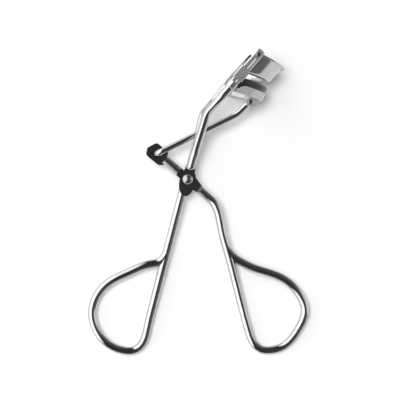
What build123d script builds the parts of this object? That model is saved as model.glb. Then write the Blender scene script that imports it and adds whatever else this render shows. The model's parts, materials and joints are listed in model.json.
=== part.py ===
from build123d import *
from math import cos, radians, sin, sqrt, tan
import os

os.makedirs("parts", exist_ok=True)

# ---------------------------------------------------------------- driving dimensions (mm, degrees)
wire_d = 2.9            # bent wire of the handles and the fork
rod_d = 2.2             # link rod
arm_d = 3.2             # short arm between the rear eye and the paddle
eye_t = 1.5             # flattened eyes of the handles
eye_gap = 0.05          # between the two eyes
shank_d = 2.0           # pivot rivet
head_d = 3.5
paddle_hole_d = 2.8

rail_n = 13.9           # inner face of a rail, measured from the middle plane
rail_t = 1.0
rail_w = 2.9
rail_r = -2.25          # middle of a rail across the head
rail_low = -7.4
rail_top = 6.6
fork_n = 14.4           # middle of the fork wires where they meet the rails
ferrule_d = 3.4

edge_tilt = 25.5        # slope of the lash edges against the rails
lower_lean = 16.0       # lean of the lower jaw's walls
jaw_r = -0.8            # where the jaws start beside the rails
jaw_n = 13.2            # half width of both jaws
upper_depth = 8.15
upper_t = 0.8
flare = 0.8             # how far the upper jaw's top edge stands out
pad_depth = 9.5
pad_t = 2.6
channel_t = 0.45

pad_grip = 5.0          # pad and channel, measured along the rails
pad_show = 2.72
channel_floor = 0.8
draft = 14.0            # how far the channel's walls draw in
lower_u = -3.9          # origin of the lower jaw's plan

pin_d = 1.6             # cross pin of the link
pin_r = 6.6
pin_u = -7.9
run = 0.05              # running clearance, radial
open_run = 0.13         # clearance of the cross pin in its knuckles, radial

head_x = 21.25          # origin of the head in the scissor plane, from the pivot
head_y = 36.4
head_dir = 48.65        # direction of the rails

# the curler lies on a table on its two loops and the far fork wire
lie_pitch = 9.44
lie_roll = 0.0
pivot_x = -3.928
pivot_y = 7.097
pivot_z = 11.08

# ---------------------------------------------------------------- frames
lie_normal = Vector(0, 0, 1).rotate(Axis.X, lie_pitch).rotate(Axis.Y, lie_roll)
lie_right = Vector(1, 0, 0).rotate(Axis.X, lie_pitch).rotate(Axis.Y, lie_roll)
scissor = Plane(origin=(pivot_x, pivot_y, pivot_z), x_dir=lie_right, z_dir=lie_normal)


def at(x, y, n=0):
    """A point of the scissor frame: right, up along the handles, towards the viewer."""
    return scissor.from_local_coords(Vector(x, y, n))


def way(x, y, n=0):
    """A direction of the scissor frame."""
    return at(x, y, n) - at(0, 0, 0)


def in_head(r, u):
    """Head coordinates, r away from the eye and u along the rails, to the scissor frame."""
    a = radians(head_dir)
    return head_x + r * sin(a) + u * cos(a), head_y - r * cos(a) + u * sin(a)


def head_at(r, u, n=0):
    x, y = in_head(r, u)
    return at(x, y, n)


def head_way(r, u, n=0):
    return head_at(r, u, n) - head_at(0, 0, 0)


def level(n):
    """The plane parallel to the scissor plane at height n."""
    return scissor.offset(n)


def head_plane(n=0):
    """Local X is r and local Y is u."""
    return Plane(origin=head_at(0, 0, n), x_dir=head_way(1, 0), z_dir=way(0, 0, 1))


def plan_plane(r, u, lean=0):
    """Across the walls of a jaw: local X leads away from the rails, local Y is minus n."""
    a = radians(lean)
    return Plane(
        origin=head_at(r, u), x_dir=head_way(cos(a), sin(a)), z_dir=head_way(-sin(a), cos(a))
    )


def bent_path(points, radii):
    """Straight runs joined by round bends, for the active line; one radius per inner point."""
    start = points[0]
    for i, radius in enumerate(radii, start=1):
        before = (points[i - 1] - points[i]).normalized()
        after = (points[i + 1] - points[i]).normalized()
        half = radians(before.get_angle(after)) / 2
        middle = (before + after).normalized() * (radius / sin(half) - radius)
        arc_in = points[i] + before * (radius / tan(half))
        arc_out = points[i] + after * (radius / tan(half))
        Line(start, arc_in)
        ThreePointArc(arc_in, points[i] + middle, arc_out)
        start = arc_out
    Line(start, points[-1])


def save(piece, name):
    piece.part.label = name
    export_step(piece.part, f"parts/{name}.step")


# ---------------------------------------------------------------- handles
pivot_axis = Axis(origin=at(0, 0, 0), direction=way(0, 0, 1))

with BuildPart() as long_handle:
    with BuildLine() as shaft:
        Line(at(-1.0, -1.2), at(-12.65, -46.0))
    with BuildSketch(shaft.line ^ 0):
        Circle(wire_d / 2)
    sweep()
    with BuildLine() as loop:
        Spline(
            at(-12.65, -46.0), at(-13.95, -51.7), at(-15.6, -56.2), at(-18.0, -58.2),
            at(-21.3, -58.4), at(-27.4, -55.8), at(-30.8, -51.7), at(-32.5, -45.4),
            at(-31.3, -40.4), at(-27.0, -35.2), at(-20.6, -31.9), at(-12.8, -28.9),
            at(-7.5, -25.6),
            tangents=(way(-0.252, -0.968), way(0.4, 0.92)),
        )
    with BuildSketch(loop.line ^ 0):
        Circle(wire_d / 2)
    sweep()
    # coined eye: only the front half of the wire is left round the pivot
    with BuildSketch(level(0)):
        Circle(5.4)
    extrude(amount=-4, mode=Mode.SUBTRACT)
    with BuildSketch(level(0)):
        with Locations((0.45, 2.0)):
            Circle(1.9)
        with Locations((1.35, 5.6)):
            Circle(wire_d / 2)
        make_hull()
        with Locations(Location((-0.16, -0.89, 0), (0, 0, -11.5))):
            Ellipse(2.75, 4.9)
    extrude(amount=eye_t)
    with BuildSketch(level(0)):
        Circle(shank_d / 2)
    extrude(amount=eye_t, mode=Mode.SUBTRACT)

with BuildPart() as short_handle:
    with BuildLine() as neck:
        Spline(
            at(2.4, -1.9), at(6.3, -5.4), at(8.9, -7.9), at(10.4, -11.1), at(11.8, -17.7),
            at(13.6, -24.4), at(19.25, -46.0),
            tangents=(way(0.75, -0.66), way(0.252, -0.968)),
        )
    with BuildSketch(neck.line ^ 0):
        Circle(wire_d / 2)
    sweep()
    with BuildLine() as short_loop:
        Spline(
            at(19.25, -46.0), at(20.85, -51.7), at(22.6, -56.0), at(25.2, -58.3),
            at(28.2, -58.7), at(33.3, -57.1), at(37.8, -51.9), at(40.35, -44.9),
            at(39.0, -40.6), at(34.2, -35.0), at(28.7, -32.3), at(22.6, -30.3),
            at(17.6, -27.8), at(13.3, -23.3),
            tangents=(way(0.252, -0.968), way(-0.5, 0.87)),
        )
    with BuildSketch(short_loop.line ^ 0):
        Circle(wire_d / 2)
    sweep()
    # coined eye: only the back half of the wire is left round the pivot, up to a sloping shoulder
    with BuildSketch(level(-eye_gap)):
        Circle(5.2)
    extrude(amount=3, taper=-30, mode=Mode.SUBTRACT)
    with BuildSketch(level(-eye_t)):
        Circle(2.6)
        with Locations((3.6, -2.95)):
            Circle(wire_d / 2)
        make_hull()
    extrude(amount=eye_t - eye_gap)
    # short round arm, flattened under the front eye and over the rivet
    with BuildSketch(Plane(origin=at(-0.6, 0.5, -0.65), z_dir=way(-0.754, 0.657))):
        Circle(arm_d / 2)
    extrude(amount=9.4)
    with BuildSketch(level(-eye_gap)):
        Circle(4.1)
    extrude(amount=4, mode=Mode.SUBTRACT)
    with BuildSketch(level(-eye_t)):
        Circle(2.3)
    extrude(amount=-2, mode=Mode.SUBTRACT)
    # paddle
    with BuildSketch(level(-eye_t)) as paddle:
        with BuildLine():
            Polyline(
                (-10.4, 12.5), (-13.7, 10.7), (-14.2, 8.3), (-10.1, 4.9), (-7.9, 4.7),
                (-6.5, 9.2), (-8.4, 10.7), close=True,
            )
        make_face()
        fillet(paddle.vertices().group_by(Axis.X)[0] + paddle.vertices().group_by(Axis.Y)[-1], 1.3)
        fillet(paddle.vertices().sort_by(Axis.Y)[:2], 0.9)
    extrude(amount=eye_t - eye_gap)
    with BuildSketch(level(-eye_t)):
        Circle(shank_d / 2 + run)
        with Locations((-10.3, 8.7)):
            Circle(paddle_hole_d / 2)
    extrude(amount=eye_t, mode=Mode.SUBTRACT)

# domed head in front, flat formed head behind
with BuildPart() as pivot_rivet:
    with BuildSketch(level(-eye_t - 0.03)):
        Circle(shank_d / 2)
    extrude(amount=2 * eye_t + 0.03)
    with BuildSketch(level(eye_t)):
        Circle(head_d / 2)
    extrude(amount=0.2)
    with Locations(level(eye_t + 0.2 - 2.22 * sin(radians(38)))):
        Sphere(2.22, arc_size1=38, arc_size2=90, align=(Align.CENTER, Align.CENTER, Align.NONE))
    with BuildSketch(level(-eye_t - 0.03)):
        Circle(1.65)
    extrude(amount=-0.7)
    chamfer(pivot_rivet.edges().sort_by(pivot_axis)[:1], length=0.35)


# ---------------------------------------------------------------- fork, ferrules and rails
def fork_wire(side):
    """One bent wire of the fork: side is 1 for the near one and -1 for the far one."""
    root_n = eye_t + wire_d / 2 - 0.2 if side > 0 else -wire_d / 2 + 0.2
    root_y = 4.4 if side > 0 else 5.6
    root_x = 1.0 if side > 0 else 1.35
    root = at(root_x, root_y, root_n)
    spread = at(2.3, 9.0, side * 2.7)
    with BuildPart() as wire:
        with BuildLine():
            bent_path(
                [root, spread, at(6.0, 22.5, side * 10.3), at(9.75, 26.75, side * fork_n),
                 head_at(rail_r, -8.0, side * fork_n)],
                [6.0, 8.0, 6.0],
            )
        with BuildSketch(Plane(origin=root, z_dir=spread - root)):
            Circle(wire_d / 2)
        sweep()
        with Locations(root):
            Sphere(wire_d / 2)
        # flat where the wire is brazed to the eye
        with BuildSketch(level(eye_t if side > 0 else 0)):
            with Locations((root_x, root_y)):
                Circle(4.5)
        extrude(amount=-side * 3, mode=Mode.SUBTRACT)
    return wire


near_fork_wire = fork_wire(1)
far_fork_wire = fork_wire(-1)


def ferrule(side):
    """Short sleeve that joins a fork wire to its rail."""
    with BuildPart() as sleeve:
        with BuildSketch(Plane(origin=head_at(rail_r, -9.9, side * fork_n),
                               x_dir=head_way(1, 0), z_dir=head_way(0, 1))):
            Circle(ferrule_d / 2)
        extrude(amount=2.5)
        rims = sleeve.edges().filter_by(GeomType.CIRCLE)
        chamfer(rims, length=0.22)
        with BuildSketch(Plane(origin=head_at(rail_r, -9.9, side * fork_n),
                               x_dir=head_way(1, 0), z_dir=head_way(0, 1))):
            Circle(wire_d / 2)
        extrude(amount=1.9, mode=Mode.SUBTRACT)
    return sleeve


near_ferrule = ferrule(1)
far_ferrule = ferrule(-1)


def rail(side):
    """Flat strip with a rounded top and a groove down its outer face."""
    length = rail_top - rail_low
    with BuildPart() as strip:
        with BuildSketch(head_plane(side * (rail_n + rail_t / 2))) as face:
            with Locations((rail_r, (rail_top + rail_low) / 2)):
                Rectangle(rail_w, length)
            fillet(face.vertices().sort_by(Axis(head_at(0, 0), head_way(0, 1)))[-2:], radius=1.0)
        extrude(amount=rail_t / 2, both=True)
        outer = strip.faces().sort_by(pivot_axis)[-1 if side > 0 else 0]
        rim = outer.edges().sort_by(Axis(head_at(0, 0), head_way(0, 1)))[1:]
        chamfer(rim, length=0.4)
        with BuildSketch(Plane(origin=head_at(rail_r, -7.2, side * (rail_n + rail_t + 0.22)),
                               x_dir=head_way(1, 0), z_dir=head_way(0, 1))):
            Circle(0.52)
        extrude(amount=10.2, mode=Mode.SUBTRACT)
        with BuildSketch(head_plane(side * rail_n)):
            with Locations((rail_r, 4.7)):
                Circle(0.6)
        extrude(amount=side * rail_t, mode=Mode.SUBTRACT)
    return strip


near_rail = rail(1)
far_rail = rail(-1)

# ---------------------------------------------------------------- upper jaw
slope = tan(radians(edge_tilt))
lip_u = 0.0             # height of the lower edge at r = 3.7


def lip(r, lift=0.0):
    """Height of the upper jaw's lash edge at r."""
    return lip_u + (r - 3.7) * slope + lift


def arc_radius(depth, half):
    """Radius of the arc that runs from one end of a jaw to the other."""
    return (half**2 + depth**2) / (2 * depth)


def arc_area(plane, radius, centre, half):
    """What a jaw's arc holds, with straight ends of the given half width behind it."""
    with BuildSketch(plane) as area:
        with Locations((centre, 0)):
            Circle(radius)
        with Locations((20, 0)):
            Rectangle(40, 60, mode=Mode.INTERSECT)
        with Locations((-2, 0)):
            Rectangle(4, 2 * half)
    return area.sketch


upper_radius = arc_radius(upper_depth, jaw_n)
upper_centre = upper_depth - upper_radius
upper_plane = plan_plane(jaw_r, -6)
flare_radius = arc_radius(upper_depth + flare, jaw_n + 0.05)
flare_centre = upper_depth + flare - flare_radius

# room inside the wall, above the turned lip
with BuildPart() as upper_room:
    extrude(arc_area(upper_plane, upper_radius - upper_t, upper_centre, jaw_n - upper_t), amount=20)
    with BuildSketch(head_plane()):
        Polygon((-6, lip(-6, 0.8)), (9, lip(9, 0.8)), (9, 14), (-6, 14), align=None)
    extrude(amount=20, both=True, mode=Mode.INTERSECT)

# the top edge stands out a little, most of all in the middle
with BuildPart() as upper_rim:
    extrude(arc_area(upper_plane, flare_radius, flare_centre, jaw_n + 0.05), amount=20)
    with BuildSketch(head_plane()):
        Polygon((jaw_r, 5.45), (10, 8.68), (10, 9.23), (jaw_r, 6.0), align=None)
    extrude(amount=20, both=True, mode=Mode.INTERSECT)

with BuildPart() as upper_jaw:
    extrude(arc_area(upper_plane, upper_radius, upper_centre, jaw_n), amount=20)
    with BuildSketch(head_plane()):
        Polygon(
            (-3.7, 6.0), (-3.7, 3.2), (jaw_r, 3.2), (jaw_r, lip(jaw_r)), (8.5, lip(8.5)),
            (8.5, 8.78), (jaw_r, 6.0), align=None,
        )
    extrude(amount=20, both=True, mode=Mode.INTERSECT)
    # the sheet turns in along the lash edge
    lash_edge = upper_jaw.edges().filter_by(GeomType.ELLIPSE).sort_by(
        Axis(head_at(0, 0), head_way(0, 1)))[:1]
    fillet(lash_edge, radius=1.3)
    add(upper_rim.part)
    add(upper_room.part, mode=Mode.SUBTRACT)
    extrude(arc_area(upper_plane, upper_radius - 2.4, upper_centre, jaw_n - 2.4), amount=20,
            mode=Mode.SUBTRACT)
    with BuildSketch(head_plane(-20)):
        with Locations((rail_r, 4.7)):
            Circle(0.6)
    extrude(amount=40, mode=Mode.SUBTRACT)


def jaw_rivet(side):
    """Shouldered rivet between the upper jaw's tab and the rail."""
    with BuildPart() as rivet:
        with BuildSketch(Plane(origin=head_at(rail_r, 4.7), x_dir=head_way(1, 0),
                               z_dir=head_way(0, -1))):
            with BuildLine():
                Polyline(
                    (0, side * 12.0), (0.95, side * 12.0), (0.95, side * 12.4), (0.6, side * 12.4),
                    (0.6, side * 13.2), (1.1, side * 13.2), (1.1, side * 13.9), (0.6, side * 13.9),
                    (0.6, side * 14.9), (0.8, side * 14.9), (0.65, side * 15.15), (0, side * 15.2),
                    close=True,
                )
            make_face()
        revolve(axis=Axis(origin=head_at(rail_r, 4.7), direction=way(0, 0, 1)))
    return rivet


near_jaw_rivet = jaw_rivet(1)
far_jaw_rivet = jaw_rivet(-1)


# ---------------------------------------------------------------- lower jaw
def edge(r, at_middle):
    """Height at r of a line parallel to the lash edge, at_middle being its height at r = 4.5."""
    return at_middle + (r - 4.5) * slope


pad_top_u = -1.55
floor_u = pad_top_u - pad_grip
channel_top_u = pad_top_u - pad_show
channel_low_u = floor_u - channel_floor


lower_plane = plan_plane(jaw_r, lower_u, lower_lean)
lower_radius = arc_radius(pad_depth + channel_t, jaw_n)
lower_centre = pad_depth + channel_t - lower_radius


def lower_area(plane, off):
    """What lies off mm inside the channel's outer wall."""
    radius = lower_radius - off
    return arc_area(plane, radius, lower_centre, sqrt(radius**2 - lower_centre**2))


def drafted(off):
    """The same as a solid, whose walls draw in below the channel's rim."""
    start = lower_plane.offset(-2.85)
    with BuildPart() as body:
        extrude(lower_area(start, off), amount=14)
        extrude(lower_area(Plane(origin=start.origin, x_dir=start.x_dir, z_dir=-start.z_dir), off),
                amount=5, taper=draft)
    return body.part


# the pad with its overhanging ends; the same shape is cut out of the channel
with BuildPart() as pad:
    add(drafted(channel_t))
    extrude(lower_area(lower_plane, channel_t + pad_t), amount=12, both=True, mode=Mode.SUBTRACT)
    with BuildSketch(head_plane()):
        Polygon(
            (jaw_r, -7.3), (0.45, -7.3), (0.45, edge(0.45, floor_u)), (12, edge(12, floor_u)),
            (12, edge(12, pad_top_u)), (jaw_r, edge(jaw_r, pad_top_u)), align=None,
        )
    extrude(amount=20, both=True, mode=Mode.INTERSECT)

with BuildPart() as lower_jaw:
    add(drafted(0))
    extrude(lower_area(lower_plane, 2 * channel_t + pad_t), amount=12, both=True,
            mode=Mode.SUBTRACT)
    with BuildSketch(head_plane()):
        Polygon(
            (jaw_r, -7.3), (0.3, -7.3), (1.6, edge(1.6, channel_top_u)),
            (12, edge(12, channel_top_u)), (12, edge(12, channel_low_u)),
            (jaw_r, edge(jaw_r, channel_low_u)), align=None,
        )
    extrude(amount=20, both=True, mode=Mode.INTERSECT)
    add(pad.part, mode=Mode.SUBTRACT)
    # clear of the ferrules
    for side in (1, -1):
        with BuildSketch(head_plane(side * 12.3)):
            with Locations((-1.0, -9.0)):
                Rectangle(2.9, 5.0)
        extrude(amount=side * 4, mode=Mode.SUBTRACT)


def collar(side):
    """Square sleeve that slides on a rail, with the lug that carries the end of the channel."""
    with BuildPart() as sleeve:
        with BuildSketch(head_plane(side * (rail_n - run - 0.4))):
            with Locations((rail_r, -3.75)):
                Rectangle(rail_w + 2 * run + 0.8, 4.7)
        extrude(amount=side * (rail_t + 2 * run + 0.8))
        fillet(sleeve.edges().filter_by(Axis(head_at(0, 0), head_way(0, 1))), radius=0.5)
        with BuildSketch(head_plane(side * (rail_n - run))):
            with Locations((rail_r, -3.75)):
                Rectangle(rail_w + 2 * run, 8)
        extrude(amount=side * (rail_t + 2 * run), mode=Mode.SUBTRACT)
        with BuildSketch(Plane(origin=head_at(jaw_r - 0.55, 0), x_dir=head_way(0, 1),
                               z_dir=head_way(1, 0))):
            with BuildLine():
                Polyline(
                    (-4.4, side * (rail_n - run - 0.2)), (-4.4, side * 9.7), (-9.4, side * 9.7),
                    (-9.4, side * 12.3), (-6.1, side * 12.3), (-6.1, side * (rail_n - run - 0.2)),
                    close=True,
                )
            make_face()
        extrude(amount=0.55)
    return sleeve


near_collar = collar(1)
far_collar = collar(-1)

# two knuckles under the middle of the channel hold the link's cross pin
knuckle_r = (edge(pin_r, channel_low_u) - pin_u) * cos(radians(edge_tilt))
with BuildPart() as hinge_bracket:
    with BuildSketch(head_plane(-4.2)):
        with Locations((pin_r, pin_u)):
            Circle(knuckle_r)
        with Locations((8.2 + 0.25 * sin(radians(edge_tilt)),
                        edge(8.2, channel_low_u) - 0.25 * cos(radians(edge_tilt)))):
            Circle(0.25)
        make_hull()
    extrude(amount=8.4)
    with BuildSketch(head_plane(-1.6)):
        with Locations(Location((pin_r, pin_u, 0), (0, 0, edge_tilt))):
            with Locations((-0.9, -0.2)):
                Rectangle(4.8, 3.2)
    extrude(amount=3.2, mode=Mode.SUBTRACT)
    with BuildSketch(head_plane(-6)):
        with Locations((pin_r, pin_u)):
            Circle(pin_d / 2 + open_run)
    extrude(amount=12, mode=Mode.SUBTRACT)

# ---------------------------------------------------------------- link
pin_x, pin_y = in_head(pin_r, pin_u)
with BuildPart() as link_rod:
    with BuildLine():
        bent_path(
            [at(-10.3, 8.7, -2.25), at(-10.3, 8.7, 1.25), at(16.86, 22.0, 0.1),
             head_at(pin_r, pin_u - 0.5)],
            [1.6, 9.5],
        )
    with BuildSketch(level(-2.25)):
        with Locations((-10.3, 8.7)):
            Circle(rod_d / 2)
    sweep()
    # formed head behind the paddle
    with BuildSketch(level(-2.25)):
        with Locations((-10.3, 8.7)):
            Circle(1.75)
    extrude(amount=0.55)
    # eye round the cross pin
    with BuildSketch(level(-1.45)):
        with Locations((pin_x, pin_y)):
            Circle(1.2)
    extrude(amount=2.9)
    with BuildSketch(level(-3)):
        with Locations((pin_x, pin_y)):
            Circle(pin_d / 2)
    extrude(amount=6, mode=Mode.SUBTRACT)

with BuildPart() as link_cross_pin:
    with BuildSketch(level(-4.8)):
        with Locations((pin_x, pin_y)):
            Circle(pin_d / 2)
    extrude(amount=9.6)
    chamfer(link_cross_pin.edges().filter_by(GeomType.CIRCLE), length=0.2)

save(long_handle, "long_handle")
save(short_handle, "short_handle")
save(pivot_rivet, "pivot_rivet")
save(near_fork_wire, "near_fork_wire")
save(far_fork_wire, "far_fork_wire")
save(near_ferrule, "near_ferrule")
save(far_ferrule, "far_ferrule")
save(near_rail, "near_rail")
save(far_rail, "far_rail")
save(upper_jaw, "upper_jaw")
save(near_jaw_rivet, "near_jaw_rivet")
save(far_jaw_rivet, "far_jaw_rivet")
save(lower_jaw, "lower_jaw")
save(pad, "pad")
save(near_collar, "near_collar")
save(far_collar, "far_collar")
save(hinge_bracket, "hinge_bracket")
save(link_rod, "link_rod")
save(link_cross_pin, "link_cross_pin")
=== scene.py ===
import json
from math import acos, copysign, cos, pi, radians, sin, sqrt, tan

import bmesh
import bpy
from mathutils import Matrix, Vector


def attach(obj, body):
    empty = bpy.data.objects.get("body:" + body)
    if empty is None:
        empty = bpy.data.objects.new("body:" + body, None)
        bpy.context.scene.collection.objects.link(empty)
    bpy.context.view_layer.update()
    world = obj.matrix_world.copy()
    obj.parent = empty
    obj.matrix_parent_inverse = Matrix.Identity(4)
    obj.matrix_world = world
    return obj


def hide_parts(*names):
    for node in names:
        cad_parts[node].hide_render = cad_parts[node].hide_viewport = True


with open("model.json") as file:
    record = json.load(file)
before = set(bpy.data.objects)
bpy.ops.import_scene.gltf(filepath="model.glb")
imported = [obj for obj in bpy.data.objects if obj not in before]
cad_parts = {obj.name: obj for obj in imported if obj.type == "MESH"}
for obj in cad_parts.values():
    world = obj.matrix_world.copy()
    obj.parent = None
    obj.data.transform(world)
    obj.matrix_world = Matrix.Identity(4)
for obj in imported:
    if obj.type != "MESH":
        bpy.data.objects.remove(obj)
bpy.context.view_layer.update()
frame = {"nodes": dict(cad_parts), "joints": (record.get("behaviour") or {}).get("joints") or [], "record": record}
nodes = frame["nodes"]

# ------------------------------------------------------------------ the head's frame, in metres
# The scissor plane leans on the table; the pivot is the origin of its right, up and front axes.
MM = 0.001
HEAD_RIGHT, HEAD_UP = 21.25, 36.4                   # from the pivot to the head's origin, mm
hinge = next(j for j in frame["joints"] if j["name"] == "handle_pivot")
slide = next(j for j in frame["joints"] if j["name"] == "jaw_slide")
pivot = Vector(hinge["pos_m"])
front = -Vector(hinge["axis"]).normalized()
right = Vector((1, 0, 0))
up = front.cross(right).normalized()
along = Vector(slide["axis"]).normalized()          # up the rails
outward = along.cross(front).normalized()           # away from the eye
head_origin = pivot + right * HEAD_RIGHT * MM + up * HEAD_UP * MM


def head(r, u, n=0.0):
    """A point of the head: r away from the eye, u up the rails, n to the front, in mm."""
    return head_origin + (outward * r + along * u + front * n) * MM


# ------------------------------------------------------------------ node helpers
def shader(name):
    """A node material with a Principled shader and object coordinates."""
    mat = bpy.data.materials.new(name)
    mat.use_nodes = True
    tree = mat.node_tree
    tree.nodes.clear()
    out = tree.nodes.new("ShaderNodeOutputMaterial")
    bsdf = tree.nodes.new("ShaderNodeBsdfPrincipled")
    tree.links.new(bsdf.outputs["BSDF"], out.inputs["Surface"])
    coord = tree.nodes.new("ShaderNodeTexCoord")
    return mat, tree, bsdf, coord.outputs["Object"]


def stretched(tree, coord, turn, scale):
    """Coordinates turned and scaled, so that noise becomes fine lines one way."""
    mapping = tree.nodes.new("ShaderNodeMapping")
    mapping.inputs["Rotation"].default_value = turn
    mapping.inputs["Scale"].default_value = scale
    tree.links.new(coord, mapping.inputs["Vector"])
    return mapping.outputs["Vector"]


def noise(tree, coord, scale, detail, rough, distortion=0.0):
    """Noise from 0 to 1."""
    node = tree.nodes.new("ShaderNodeTexNoise")
    node.inputs["Scale"].default_value = scale
    node.inputs["Detail"].default_value = detail
    node.inputs["Roughness"].default_value = rough
    node.inputs["Distortion"].default_value = distortion
    tree.links.new(coord, node.inputs["Vector"])
    return node.outputs["Fac"]


def spread(tree, value, low, high, to_low, to_high):
    """Maps a span of value to another span."""
    node = tree.nodes.new("ShaderNodeMapRange")
    node.inputs["From Min"].default_value = low
    node.inputs["From Max"].default_value = high
    node.inputs["To Min"].default_value = to_low
    node.inputs["To Max"].default_value = to_high
    tree.links.new(value, node.inputs["Value"])
    return node.outputs["Result"]


def maths(tree, operation, a, b):
    """An operation on a and b, each a number or a socket."""
    node = tree.nodes.new("ShaderNodeMath")
    node.operation = operation
    for socket, value in zip(node.inputs, (a, b)):
        if isinstance(value, (int, float)):
            socket.default_value = value
        else:
            tree.links.new(value, socket)
    return node.outputs["Value"]


def bump(tree, height, distance, strength, normal=None):
    """A normal raised by a height, on top of another normal if one is given."""
    node = tree.nodes.new("ShaderNodeBump")
    node.inputs["Distance"].default_value = distance
    node.inputs["Strength"].default_value = strength
    tree.links.new(height, node.inputs["Height"])
    if normal is not None:
        tree.links.new(normal, node.inputs["Normal"])
    return node.outputs["Normal"]


def rounded(tree, radius):
    """Softens sharp edges for the light only, as a tumbled and plated edge does."""
    node = tree.nodes.new("ShaderNodeBevel")
    node.samples = 6
    node.inputs["Radius"].default_value = radius
    return node.outputs["Normal"]


def two_tone(tree, value, dark, light):
    """A colour between dark and light."""
    ramp = tree.nodes.new("ShaderNodeValToRGB")
    ramp.color_ramp.elements[0].color = (*dark, 1)
    ramp.color_ramp.elements[1].color = (*light, 1)
    tree.links.new(value, ramp.inputs["Fac"])
    return ramp.outputs["Color"]


PEEL, RUB = 0.0000025, 0.05         # depth of the hairlines in metres, roughness of handling marks


def plated(name, tone, rough, grain, turn, edge=0.0, metal=1.0):
    """Chrome plating: hairlines one way, faint orange peel, handling marks. metal under 1 is satin."""
    mat, tree, bsdf, coord = shader(name)
    bsdf.inputs["Metallic"].default_value = metal
    haze = noise(tree, coord, 260.0, 4.0, 0.6)
    dark = tuple(c * 0.9 for c in tone)
    hazed = two_tone(tree, spread(tree, haze, 0.3, 0.7, 0.0, 1.0), dark, tone)
    tree.links.new(hazed, bsdf.inputs["Base Color"])
    lines = noise(tree, stretched(tree, coord, turn, (1.0, 14.0, 14.0)), grain, 5.0, 0.7)
    marks = noise(tree, coord, 900.0, 6.0, 0.75, 0.6)
    worn = spread(tree, marks, 0.52, 0.72, 0.0, RUB)
    lined = spread(tree, lines, 0.35, 0.75, rough, rough + 0.05)
    tree.links.new(maths(tree, "ADD", lined, worn), bsdf.inputs["Roughness"])
    base = rounded(tree, edge) if edge else None
    peeled = bump(tree, noise(tree, coord, 420.0, 2.0, 0.5), PEEL * 4, 0.5, base)
    tree.links.new(bump(tree, lines, PEEL, 0.35, peeled), bsdf.inputs["Normal"])
    return mat


def brushed(name, tone, rough, edge):
    """Plain steel rivet heads, tumbled and a little scored."""
    mat, tree, bsdf, coord = shader(name)
    bsdf.inputs["Metallic"].default_value = 1.0
    tree.links.new(
        two_tone(tree, noise(tree, coord, 700.0, 5.0, 0.65), tuple(c * 0.72 for c in tone), tone),
        bsdf.inputs["Base Color"],
    )
    score = noise(tree, stretched(tree, coord, (0, 0, 0.6), (1.0, 9.0, 9.0)), 1500.0, 5.0, 0.7)
    tree.links.new(spread(tree, score, 0.3, 0.75, rough, rough + 0.16), bsdf.inputs["Roughness"])
    tree.links.new(bump(tree, score, 0.000006, 0.5, rounded(tree, edge)), bsdf.inputs["Normal"])
    return mat


def rubber(name):
    """Black silicone rubber with a fine moulded skin and dust-grey rubbed places."""
    mat, tree, bsdf, coord = shader(name)
    fleck = noise(tree, coord, 2600.0, 4.0, 0.7)
    cloud = noise(tree, coord, 190.0, 4.0, 0.6)
    black, dusty = (0.010, 0.010, 0.010), (0.028, 0.028, 0.029)
    clouded = two_tone(tree, spread(tree, cloud, 0.35, 0.75, 0.0, 1.0), black, dusty)
    tree.links.new(clouded, bsdf.inputs["Base Color"])
    tree.links.new(spread(tree, cloud, 0.3, 0.7, 0.34, 0.5), bsdf.inputs["Roughness"])
    bsdf.inputs["Specular IOR Level"].default_value = 0.5
    bsdf.inputs["Sheen Weight"].default_value = 0.08
    bsdf.inputs["Sheen Roughness"].default_value = 0.45
    tree.links.new(bump(tree, fleck, 0.000012, 0.5), bsdf.inputs["Normal"])
    return mat


chrome = (0.54, 0.54, 0.543)
satin = (0.57, 0.57, 0.573)
RAIL_LINES, JAW_LINES = (0, 0, 0.85), (0, 0, -0.7)   # turn of the hairlines, in radians
looks = {
    "long_handle_chrome": plated("chrome_long_handle", chrome, 0.045, 900.0, (0, 0, 1.3)),
    "short_handle_chrome": plated("chrome_short_handle", chrome, 0.045, 850.0, (0, 0, -1.3)),
    "fork_chrome": plated("chrome_fork", chrome, 0.05, 950.0, (0, 0, 1.0)),
    "ferrule_chrome": plated("chrome_ferrule", satin, 0.09, 1500.0, RAIL_LINES, edge=0.0001, metal=0.9),
    "rail_chrome": plated("chrome_rail", satin, 0.24, 1400.0, RAIL_LINES, edge=0.00012, metal=0.8),
    "upper_jaw_chrome": plated("chrome_upper_jaw", chrome, 0.08, 1300.0, JAW_LINES, edge=0.00015),
    "channel_chrome": plated("chrome_channel", chrome, 0.12, 1250.0, JAW_LINES, edge=0.00014, metal=0.4),
    "collar_chrome": plated("chrome_collar", satin, 0.25, 1500.0, RAIL_LINES, edge=0.00015, metal=0.78),
    "bracket_chrome": plated(
        "chrome_bracket", (0.56, 0.56, 0.563), 0.16, 1400.0, (0, 0, 0.4), edge=0.00015, metal=0.5),
    "link_chrome": plated("chrome_link", chrome, 0.05, 1000.0, (0, 0, 0.45)),
    "rivet_steel": brushed("steel_rivet", (0.45, 0.45, 0.452), 0.16, 0.00012),
}
pad_look = rubber("rubber_pad")
for part in frame["record"]["subparts"]:
    look = looks.get(part["material_slot"], pad_look)
    obj = nodes[part["node"]]
    obj.data.materials.clear()
    obj.data.materials.append(look)
    for polygon in obj.data.polygons:
        polygon.material_index = 0


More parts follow.
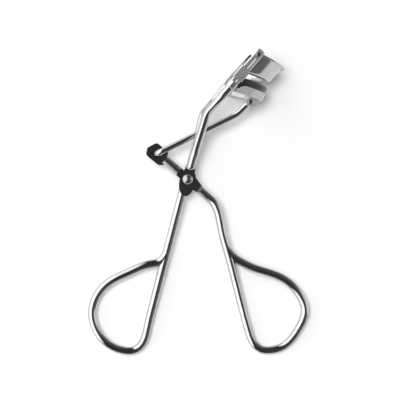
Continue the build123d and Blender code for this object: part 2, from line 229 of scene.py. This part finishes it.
# ------------------------------------------------------------------ the pad
LEAN = radians(16.0)                                # lean of the channel's walls
SLOPE = tan(radians(25.5))                          # slope of the lash edge against the rails
DRAFT = tan(radians(14.0))                          # how far the channel's walls draw in
JAW_R, LOWER_U = -0.8, -3.9                         # back and level of the channel's arc, mm
DEPTH, CHORD, SKIN, THICK = 9.95, 13.2, 0.45, 2.6   # arc depth, half chord, sheet, pad, mm
MIDDLE_R, TOP = 4.5, -1.55                          # a place across the pad, its top there, mm
RIM = -2.85                                         # below this level the walls draw in, mm
TAB = 4.0                                           # length of the straight ends, mm
RADIUS = (CHORD**2 + DEPTH**2) / (2 * DEPTH)
CENTRE = DEPTH - RADIUS


def edge_height(r, at_middle):
    """Height at r of a line parallel to the lash edge, at_middle being its height at MIDDLE_R."""
    return at_middle + (r - MIDDLE_R) * SLOPE


def at_wall(angle, off, push, rise):
    """A point off mm inside the pad's outer face and rise mm over its sloped top, so mostly below it.

    push is how far along a straight end it is, from 0 to 1. Gives r, u, n and the height over the
    arc along the leaning wall.
    """
    radius = RADIUS - SKIN - off
    x, n = CENTRE + radius * cos(angle), radius * sin(angle)
    if push:
        x, n = -push * TAB, copysign(sqrt(radius**2 - CENTRE**2), angle)
    base_r = JAW_R + x * cos(LEAN)
    base_u = LOWER_U + x * sin(LEAN)
    height = (edge_height(base_r, TOP + rise) - base_u) / (cos(LEAN) + SLOPE * sin(LEAN))
    return base_r - height * sin(LEAN), base_u + height * cos(LEAN), n, height


def pad_piece():
    """The rubber strip: rounded top, a root that draws in with the channel, square moulded ends."""
    steps = 72
    reach = acos(-CENTRE / (RADIUS - SKIN - THICK))
    stations = [(-reach, k) for k in (1.0, 0.75, 0.5, 0.25)]
    stations += [(reach * (2 * i / steps - 1), 0.0) for i in range(steps + 1)]
    stations += [(reach, k) for k in (0.25, 0.5, 0.75, 1.0)]
    front_corner, corner = 1.0, 0.55
    turn = [pi / 2 * i / 6 for i in range(7)]
    sides = (-4.9, -4.2, -3.4, -2.75, -2.62, -2.5, -1.8, -1.2)
    profile = [(0.0, h) for h in sides]
    profile += [(front_corner * (1 - cos(t)), front_corner * (sin(t) - 1)) for t in turn]
    profile += [(THICK / 2, 0.0)]
    profile += [(THICK - corner + corner * sin(t), -corner + corner * cos(t)) for t in turn]
    profile += [(THICK, h) for h in reversed(sides)]
    mesh = bpy.data.meshes.new("pad_rubber")
    bm = bmesh.new()
    verts = []
    for angle, push in stations:
        row = []
        for off, rise in profile:
            r, u, n, height = at_wall(angle, off, push, rise)
            below = max(0.0, RIM - height)
            if below and off < THICK / 2:
                # the channel's wall draws in below its rim
                r, u, n, height = at_wall(angle, off + below * DRAFT, push, rise)
            row.append(bm.verts.new(head(max(r, JAW_R), u, n)))
        verts.append(row)
    for a, b in zip(verts, verts[1:]):
        for i in range(len(a) - 1):
            bm.faces.new((a[i], a[i + 1], b[i + 1], b[i]))
        bm.faces.new((a[-1], a[0], b[0], b[-1]))
    bm.faces.new(verts[0])
    bm.faces.new(list(reversed(verts[-1])))
    bmesh.ops.remove_doubles(bm, verts=bm.verts, dist=0.00001)
    bmesh.ops.recalc_face_normals(bm, faces=bm.faces)
    bm.to_mesh(mesh)
    bm.free()
    obj = bpy.data.objects.new("pad_strip", mesh)
    bpy.context.scene.collection.objects.link(obj)
    mesh.materials.append(pad_look)
    for polygon in mesh.polygons:
        polygon.use_smooth = True
    return obj


pad = pad_piece()
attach(pad, "jaw_carriage")
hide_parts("pad")


# ------------------------------------------------------------------ floor, light and camera
def plain(name, colour, rough):
    """A matt material without gloss."""
    mat = bpy.data.materials.new(name)
    mat.use_nodes = True
    bsdf = mat.node_tree.nodes["Principled BSDF"]
    bsdf.inputs["Base Color"].default_value = (*colour, 1)
    bsdf.inputs["Roughness"].default_value = rough
    bsdf.inputs["Specular IOR Level"].default_value = 0.0
    return mat


mesh = bpy.data.meshes.new("floor")
bm = bmesh.new()
bmesh.ops.create_grid(bm, x_segments=2, y_segments=2, size=3.0)
bm.to_mesh(mesh)
bm.free()
floor = bpy.data.objects.new("floor", mesh)
bpy.context.scene.collection.objects.link(floor)
mesh.materials.append(plain("floor_white", (0.86, 0.86, 0.86), 0.9))

centre = pivot + right * 4.25 * MM + up * -7.1 * MM  # what the camera looks at
to_camera = (front - right * 0.069 + up * 0.026).normalized()


def lamp(name, place, size, power):
    """A square area lamp that faces the object and does not show in the metal."""
    data = bpy.data.lights.new(name, "AREA")
    data.size = size
    data.energy = power
    obj = bpy.data.objects.new(name, data)
    obj.location = place
    obj.rotation_euler = (centre - place).to_track_quat("-Z", "Y").to_euler()
    obj.visible_glossy = False
    bpy.context.scene.collection.objects.link(obj)


lamp("key", centre + (to_camera - right * 0.11 + up * 0.08) * 0.8, 0.20, 4.6)
lamp("fill", Vector((0.0, 0.0, 0.9)), 0.9, 1.9)


def step(tree, value, low, high):
    """0 below low, 1 above high, smooth between."""
    node = tree.nodes.new("ShaderNodeMapRange")
    node.interpolation_type = "SMOOTHSTEP"
    node.inputs["From Min"].default_value = low
    node.inputs["From Max"].default_value = high
    tree.links.new(value, node.inputs["Value"])
    return node.outputs["Result"]


# A light tent: a large white bank on the left, a narrow reflector on the right, dim elsewhere.
world = bpy.data.worlds.new("studio")
bpy.context.scene.world = world
world.use_nodes = True
tree = world.node_tree
background = tree.nodes["Background"]
direction = tree.nodes.new("ShaderNodeTexCoord").outputs["Generated"]


def share(axis):
    """How far the view of a reflection points along an axis, from -1 to 1."""
    node = tree.nodes.new("ShaderNodeVectorMath")
    node.operation = "DOT_PRODUCT"
    node.inputs[1].default_value = axis
    tree.links.new(direction, node.inputs[0])
    return node.outputs["Value"]


def times(a, b):
    """a multiplied by b."""
    return maths(tree, "MULTIPLY", a, b)


def plus(a, b):
    """a and b added."""
    return maths(tree, "ADD", a, b)


def fades(value, low, high):
    """1 below low, 0 above high, smooth between."""
    return maths(tree, "SUBTRACT", 1.0, step(tree, value, low, high))


BANK, STRIP = 1.95, 0.95            # strength of the left bank and of the right reflector
DIM = 0.095                         # strength elsewhere
DIM_RIGHT, DIM_FRONT = 0.16, -0.055  # how it changes towards the right and the front

to_right, to_top = share(right), share(up)
to_left = times(to_right, -1.0)
aspect = maths(tree, "DIVIDE", to_top, maths(tree, "MAXIMUM", to_left, 0.02))
bank = times(step(tree, to_left, 0.13, 0.30), step(tree, aspect, -1.5, -0.9))
bank = times(bank, fades(aspect, 1.4, 4.5))
slant = maths(tree, "DIVIDE", to_top, maths(tree, "MAXIMUM", to_right, 0.02))
strip = times(step(tree, to_right, 0.6, 0.9), step(tree, slant, -0.35, -0.1))
strip = times(strip, fades(slant, 0.1, 0.75))
dim = plus(times(maths(tree, "MAXIMUM", to_right, 0.0), DIM_RIGHT), DIM)
dim = plus(dim, times(share(front), DIM_FRONT))
glow = plus(times(bank, BANK), times(strip, STRIP))
glow = plus(glow, maths(tree, "MAXIMUM", dim, 0.02))
# The tent lights matt surfaces at half strength, and the camera sees a plain pale backdrop.
path = tree.nodes.new("ShaderNodeLightPath")
glow = maths(tree, "SUBTRACT", glow, times(times(glow, 0.5), path.outputs["Is Diffuse Ray"]))
pale = tree.nodes.new("ShaderNodeMix")
tree.links.new(path.outputs["Is Camera Ray"], pale.inputs["Factor"])
tree.links.new(glow, pale.inputs["A"])
pale.inputs["B"].default_value = 0.9
tree.links.new(pale.outputs["Result"], background.inputs["Strength"])
background.inputs["Color"].default_value = (1, 1, 1, 1)

camera_data = bpy.data.cameras.new("camera")
camera_data.lens = 132.0
camera_data.sensor_width = 36.0
camera_data.clip_start = 0.01
camera = bpy.data.objects.new("camera", camera_data)
bpy.context.scene.collection.objects.link(camera)
side = up.cross(to_camera).normalized()
top = to_camera.cross(side).normalized()
place = centre + to_camera * 0.5
camera.matrix_world = Matrix((
    (side.x, top.x, to_camera.x, place.x),
    (side.y, top.y, to_camera.y, place.y),
    (side.z, top.z, to_camera.z, place.z),
    (0, 0, 0, 1),
))
bpy.context.scene.camera = camera
bpy.context.scene.view_settings.view_transform = "Standard"
